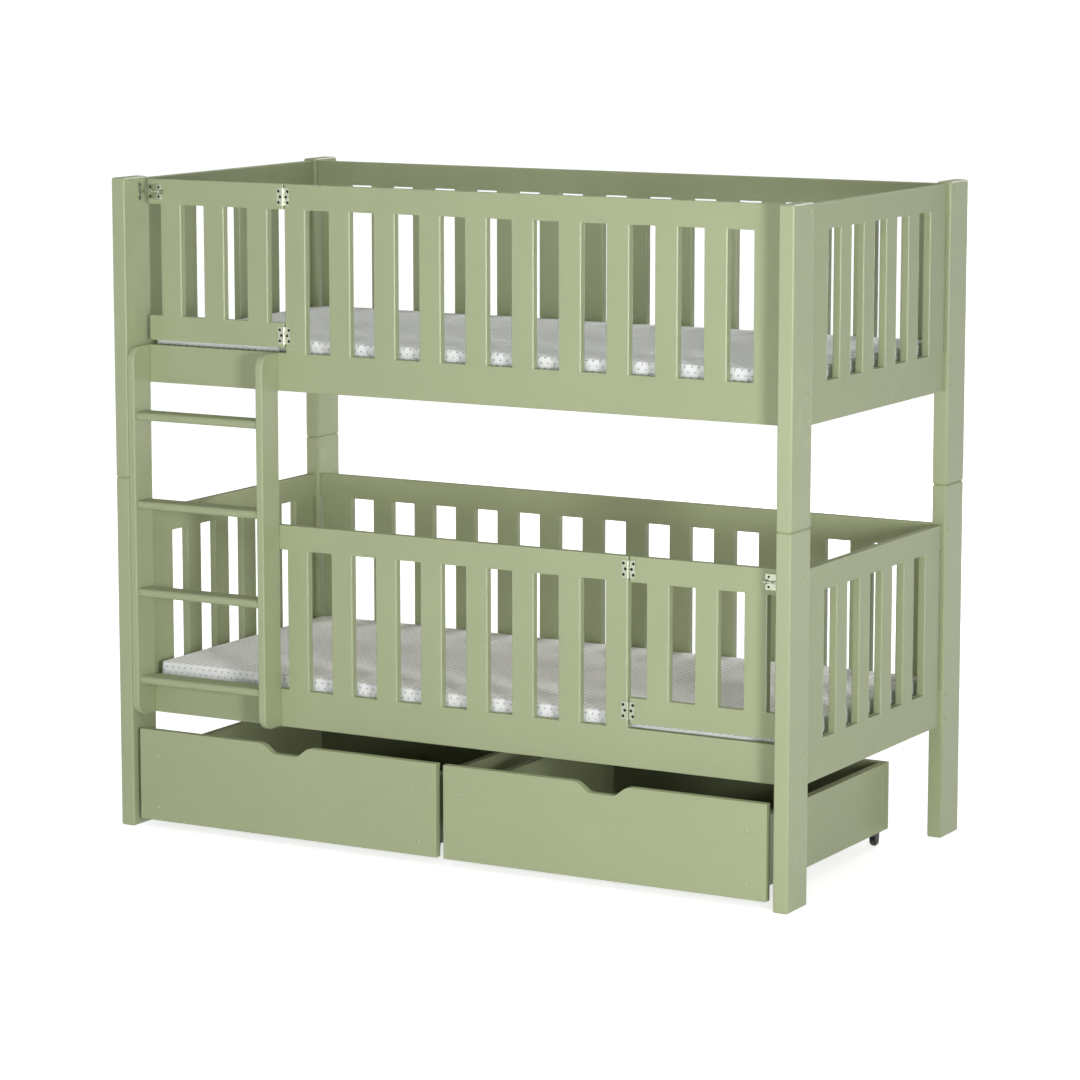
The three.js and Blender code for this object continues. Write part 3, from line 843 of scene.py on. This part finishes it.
# Bolt covers on the posts' end faces: places from the middle in metres, heights
# above the floor and sizes in millimetres
END_FACE_X = 0.840
BOLT_Y = 0.365
BOLT_HEIGHTS = (1451, 1078, 1021.5, 697.5, 325, 268)
CAP_RADIUS = 4.6
CAP_HEIGHT = 1.9

# Dowel heads in the drawer fronts, in millimetres: how far from the front's
# ends, how far above the floor, and their sizes
PLUG_INSET = 46.5
PLUG_HEIGHTS = (165, 49.5)
PLUG_RADIUS = 5.2
PLUG_RISE = 2.8


def build_bolt_caps():
    bm = bmesh.new()
    size = (CAP_RADIUS * MM, CAP_HEIGHT * MM)
    for side in (-1, 1):
        for y in (-BOLT_Y, BOLT_Y):
            for z in BOLT_HEIGHTS:
                point = Vector((side * END_FACE_X, y, z * MM))
                add_dished_cap(bm, point, (side, 0, 0), *size)
    obj = finish_piece("bolt_caps", bm, "bed_frame", edge_paint)
    shade_cleanly(obj)


def build_plugs(drawer):
    bm = bmesh.new()
    low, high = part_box(f"{drawer}_drawer_front")
    for x in (low.x + PLUG_INSET * MM, high.x - PLUG_INSET * MM):
        for z in PLUG_HEIGHTS:
            point = Vector((x, low.y, z * MM))
            add_plug(bm, point, FRONT, PLUG_RADIUS * MM, PLUG_RISE * MM)
    name, body = f"{drawer}_drawer_plugs", f"{drawer}_drawer"
    obj = finish_piece(name, bm, body, edge_paint)
    shade_cleanly(obj)


for name, obj in nodes.items():
    if "panel" in name or name.endswith("_gate"):
        build_board(name)
    elif not name.endswith("mattress"):
        dress_node(name, obj)

build_hardware()
build_bolt_caps()
for drawer in ("left", "right"):
    build_plugs(drawer)


# Mattresses


def rounded_box(half, step, corner, edge, tightness):
    """A closed skin of quads over a box: stations every step, upright
    corners and all the edges rounded, and a crease of the given tightness
    round the top."""
    stations = []
    # The last station before the edge is at least this share of a step from it
    least_gap = 0.4
    for reach, gap in zip(half, step):
        count = int((reach - gap * least_gap) / gap)
        inner = [i * gap for i in range(-count, count + 1)]
        stations.append([-reach, *inner, reach])
    last = [len(s) - 1 for s in stations]
    bm = bmesh.new()
    crease = bm.edges.layers.float.new("crease_edge")
    made = {}

    def place(i, j, k):
        x, y, z = (s[n] for s, n in zip(stations, (i, j, k)))
        dx = abs(x) - (half[0] - corner)
        dy = abs(y) - (half[1] - corner)
        if dx > 0 and dy > 0:
            near, far = max(dx, dy), math.hypot(dx, dy)
            out = (dx / far, dy / far)
            base = (half[0] - corner, half[1] - corner)
            inset = corner - near
        elif half[0] - abs(x) < half[1] - abs(y):
            inset, out, base = half[0] - abs(x), (1, 0), (half[0] - corner, abs(y))
        else:
            inset, out, base = half[1] - abs(y), (0, 1), (abs(x), half[1] - corner)
        drop = half[2] - abs(z)
        if inset < edge and drop < edge:
            a, b = edge - inset, edge - drop
            shrink = max(a, b) / math.hypot(a, b)
            inset, drop = edge - a * shrink, edge - b * shrink
        px = base[0] + out[0] * (corner - inset)
        py = base[1] + out[1] * (corner - inset)
        pz = half[2] - drop
        return (math.copysign(px, x), math.copysign(py, y), math.copysign(pz, z))

    def vert(i, j, k):
        if (i, j, k) not in made:
            made[i, j, k] = bm.verts.new(place(i, j, k))
        return made[i, j, k]

    def quad(*corners):
        bm.faces.new([vert(*corner) for corner in corners])

    for k in (0, last[2]):
        for i in range(last[0]):
            for j in range(last[1]):
                quad((i, j, k), (i + 1, j, k), (i + 1, j + 1, k), (i, j + 1, k))
    for rim in [e for e in bm.edges if e.is_boundary and e.verts[0].co.z > 0]:
        rim[crease] = tightness
    for k in range(last[2]):
        for j in (0, last[1]):
            for i in range(last[0]):
                quad((i, j, k), (i + 1, j, k), (i + 1, j, k + 1), (i, j, k + 1))
        for i in (0, last[0]):
            for j in range(last[1]):
                quad((i, j, k), (i, j + 1, k), (i, j + 1, k + 1), (i, j, k + 1))
    bmesh.ops.recalc_face_normals(bm, faces=bm.faces)
    return bm


def vertex_rows(mesh, attribute="co"):
    """A vector of each vertex, one to a row."""
    flat = np.zeros(len(mesh.vertices) * 3)
    mesh.vertices.foreach_get(attribute, flat)
    return flat.reshape(-1, 3)


def apply_modifiers(obj):
    deps = bpy.context.evaluated_depsgraph_get()
    mesh = bpy.data.meshes.new_from_object(obj.evaluated_get(deps))
    obj.modifiers.clear()
    obj.data = mesh


SWELL_FRAMES = 20


def inflate(obj, floor_z, cap):
    """Swells the cover with the cloth solver, its underside held, and keeps
    each point's move below the cap."""
    rest = vertex_rows(obj.data)
    pinned = obj.vertex_groups.new(name="underside")
    under = np.flatnonzero(rest[:, 2] < floor_z + 1 * MM)
    pinned.add([int(i) for i in under], 1.0, "REPLACE")
    cloth = obj.modifiers.new("swell", "CLOTH")
    settings = cloth.settings
    settings.vertex_group_mass = "underside"
    settings.quality = 6
    settings.mass = 0.4
    settings.tension_stiffness = 25
    settings.compression_stiffness = 25
    settings.shear_stiffness = 8
    settings.bending_stiffness = 4
    settings.use_pressure = True
    settings.uniform_pressure_force = 4
    settings.effector_weights.gravity = 0
    cloth.collision_settings.use_collision = False
    cloth.point_cache.frame_end = SWELL_FRAMES
    for number in range(1, SWELL_FRAMES + 1):
        bpy.context.scene.frame_set(number)
    apply_modifiers(obj)
    bpy.context.scene.frame_set(1)
    moved = vertex_rows(obj.data) - rest
    size = np.linalg.norm(moved, axis=1, keepdims=True)
    moved *= cap * np.tanh(size / cap) / np.maximum(size, 1e-9)
    obj.data.vertices.foreach_set("co", (rest + moved).ravel())
    obj.data.update()


# The cover's relief, in millimetres: a pressed well's radius and depth, the
# ribs' height on top and on the sides, and that of the top's slow waves
PRESSED_RADIUS = 3.6
WELL_DEPTH = 1.1
TOP_RIB = 0.6
SIDE_RIB = 0.2
SLOW_WAVE = 0.8


def press_knit(obj):
    """Presses the knit's wells into the cover, raises its ribs and gives the
    top slow waves. The underside stays flat."""
    mesh = obj.data
    points = vertex_rows(mesh)
    normals = vertex_rows(mesh, "normal")
    x, y, z = points.T
    upward = normals[:, 2] > TOP_SLOPE
    on_end = (np.abs(normals[:, 0]) > np.abs(normals[:, 1])) & ~upward
    across = np.where(on_end, y, x) / KNIT_PITCH
    row = np.where(upward, y, z) / KNIT_ROW
    index = np.round(row)
    shifted = across + 0.5 * np.abs(index % 2)
    du = (shifted - np.round(shifted)) * KNIT_PITCH
    dv = (row - index) * KNIT_ROW
    well = np.clip(1 - np.hypot(du, dv) / (PRESSED_RADIUS * MM), 0, 1)
    well *= np.where(upward, TOP_WELL, 1.0)
    rib = 0.5 + 0.5 * np.cos(2 * math.pi * across)
    slow = (
        np.sin(5.1 * x + 1.3) * np.sin(9.7 * y + 0.4)
        + 0.6 * np.sin(13.0 * x + 4.1 * y)
        + 0.4 * np.sin(29.0 * x - 11.0 * y + 2.0)
    )
    rise = np.where(upward, TOP_RIB * rib + SLOW_WAVE * slow, SIDE_RIB * rib)
    rise -= WELL_DEPTH * well
    downward = normals[:, 2] < -0.5
    rise[downward] = 0
    points += normals * (rise * MM)[:, None]
    mesh.vertices.foreach_set("co", points.ravel())
    mesh.update()


def simplify_underside(obj, floor_z):
    """Swaps the fine grid of the flat underside for a few large triangles."""
    bm = bmesh.new()
    bm.from_mesh(obj.data)
    under = [f for f in bm.faces if f.calc_center_median().z < floor_z + 0.3 * MM]
    bmesh.ops.delete(bm, geom=under, context="FACES")
    rim = [e for e in bm.edges if e.is_boundary]
    made = bmesh.ops.contextual_create(bm, geom=rim)["faces"]
    bmesh.ops.triangulate(bm, faces=made)
    bmesh.ops.recalc_face_normals(bm, faces=bm.faces)
    bm.to_mesh(obj.data)
    bm.free()


# How far a cover's skin starts inside its node's box, in millimetres: at each
# end, along each side, above and below, and the room that the top swells into
END_INSET = 0.5
SIDE_INSET = 2
FLAT_INSET = 0.5
CROWN = 5
# How far its underside is above the box's
COVER_LIFT = 0.2


def build_mattresses():
    low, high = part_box("lower_mattress")
    size = (high - low) / 2
    half = (
        size.x - END_INSET * MM,
        size.y - SIDE_INSET * MM,
        size.z - CROWN * MM / 2 - FLAT_INSET * MM,
    )
    spacing = (KNIT_PITCH, KNIT_ROW * 2, KNIT_ROW * 2)
    bm = rounded_box(half, spacing, corner=15 * MM, edge=5 * MM, tightness=0.7)
    obj = finish_piece("lower_mattress_cover", bm, "bed_frame", knit)
    inflate(obj, -half[2], cap=3.5 * MM)
    subdivide = obj.modifiers.new("fine", "SUBSURF")
    subdivide.levels = subdivide.render_levels = 2
    apply_modifiers(obj)
    points = vertex_rows(obj.data)
    points[:, 2] = np.maximum(points[:, 2], -half[2])
    obj.data.vertices.foreach_set("co", points.ravel())
    press_knit(obj)
    simplify_underside(obj, -half[2])
    for polygon in obj.data.polygons:
        polygon.use_smooth = True
    obj.data.materials.clear()
    obj.data.materials.append(knit)
    middle = (low + high) / 2
    upper_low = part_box("upper_mattress")[0]
    other = bpy.data.objects.new("upper_mattress_cover", obj.data.copy())
    bpy.context.scene.collection.objects.link(other)
    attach(other, "bed_frame")
    for piece, name, z, turn in (
        (obj, "lower_mattress", low.z, 0),
        (other, "upper_mattress", upper_low.z, math.pi),
    ):
        at = Vector((middle.x, middle.y, z + half[2] + COVER_LIFT * MM))
        piece.data.transform(Matrix.Translation(at) @ Matrix.Rotation(turn, 4, "Z"))
        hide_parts(name)


build_mattresses()


# Floor, light and camera


def background_seen(tree):
    """1 for the rays that show the background: camera, gloss and glass."""
    rays = node(tree, "ShaderNodeLightPath").outputs
    gloss = math_node(
        tree, "MAXIMUM", rays["Is Glossy Ray"], rays["Is Transmission Ray"]
    )
    return math_node(tree, "MAXIMUM", rays["Is Camera Ray"], gloss)


# The floor's white grows between these strengths, over these distances from the
# middle in metres, so that the shadow under the bed stays
FLOOR_WHITE = (0.72, 1.0)
FLOOR_WHITE_FROM = (1.5, 5.0)


def build_floor():
    bm = bmesh.new()
    bmesh.ops.create_grid(bm, x_segments=1, y_segments=1, size=40)
    mesh = bpy.data.meshes.new("floor")
    bm.to_mesh(mesh)
    bm.free()
    floor = bpy.data.objects.new("floor", mesh)
    bpy.context.scene.collection.objects.link(floor)
    mat, tree, bsdf = shader("white_floor")
    bsdf.inputs["Base Color"].default_value = (0.8, 0.8, 0.8, 1)
    bsdf.inputs["Roughness"].default_value = 0.9
    bsdf.inputs["Specular IOR Level"].default_value = 0.0
    place = node(tree, "ShaderNodeTexCoord").outputs["Object"]
    away = node(tree, "ShaderNodeVectorMath", {0: place}, operation="LENGTH")
    glow = spread(tree, away.outputs["Value"], *FLOOR_WHITE, *FLOOR_WHITE_FROM)
    glow = math_node(tree, "MULTIPLY", background_seen(tree), glow)
    white = node(tree, "ShaderNodeEmission", {"Color": (1, 1, 1, 1), "Strength": glow})
    both = node(tree, "ShaderNodeAddShader", {0: bsdf.outputs[0], 1: white.outputs[0]})
    tree.links.new(both.outputs[0], tree.nodes["Material Output"].inputs["Surface"])
    mesh.materials.append(mat)


def build_world():
    world = bpy.data.worlds.new("studio")
    bpy.context.scene.world = world
    world.use_nodes = True
    tree = world.node_tree
    tree.nodes.clear()
    soft = node(tree, "ShaderNodeBackground", {"Color": (1, 1, 1, 1), "Strength": 0.12})
    white = node(tree, "ShaderNodeBackground", {"Color": (1, 1, 1, 1), "Strength": 1.0})
    mixed = node(
        tree,
        "ShaderNodeMixShader",
        {0: background_seen(tree), 1: soft.outputs[0], 2: white.outputs[0]},
    )
    node(tree, "ShaderNodeOutputWorld", {"Surface": mixed.outputs[0]})


# Name, place, width and height in metres, and power in watts
LAMPS = [
    ("front_low", (0.5, -5.0, 0.6), 3.0, 1.2, 55),
    ("front_high", (1.0, -4.5, 4.5), 3.0, 2.0, 38),
    ("front_left", (-7.0, -7.0, 2.0), 2.0, 2.0, 40),
    ("front_right", (4.5, -4.0, 1.2), 0.9, 0.9, 152),
    ("right_low", (5.5, 0.5, 0.8), 3.0, 1.4, 8),
    ("left", (-5.0, 0.0, 1.5), 3.0, 3.0, 36),
    ("back_low", (0.0, 6.0, 1.2), 3.0, 2.0, 130),
    ("back_high", (0.0, 4.5, 4.0), 3.0, 2.0, 62),
    ("top", (0.0, 0.0, 5.0), 4.0, 4.0, 36),
]
LAMP_TARGET = (0, 0, 0.75)


def build_lamps():
    for name, place, width, height, watts in LAMPS:
        data = bpy.data.lights.new(name, "AREA")
        data.shape = "RECTANGLE"
        data.size = width
        data.size_y = height
        data.energy = watts
        lamp = bpy.data.objects.new(name, data)
        lamp.location = place
        aim = Vector(LAMP_TARGET) - Vector(place)
        lamp.rotation_euler = aim.to_track_quat("-Z", "Y").to_euler()
        bpy.context.scene.collection.objects.link(lamp)


# The camera fitted to the photograph: degrees, metres, pixels and millimetres
CAMERA_AZIMUTH = 29.382
CAMERA_PITCH = 9.046
CAMERA_PLACE = (4.31345, -7.65377, 2.05843)
FOCAL_PIXELS = 3966.2
IMAGE_PIXELS = 1080
SENSOR = 36.0


def build_camera():
    data = bpy.data.cameras.new("camera")
    data.sensor_width = SENSOR
    data.lens = FOCAL_PIXELS / IMAGE_PIXELS * SENSOR
    data.clip_end = 100
    camera = bpy.data.objects.new("camera", data)
    camera.location = CAMERA_PLACE
    camera.rotation_euler = (
        math.radians(90 - CAMERA_PITCH),
        0,
        math.radians(CAMERA_AZIMUTH),
    )
    bpy.context.scene.collection.objects.link(camera)
    bpy.context.scene.camera = camera


build_floor()
build_world()
build_lamps()
build_camera()

scene = bpy.context.scene
scene.view_settings.view_transform = "Standard"
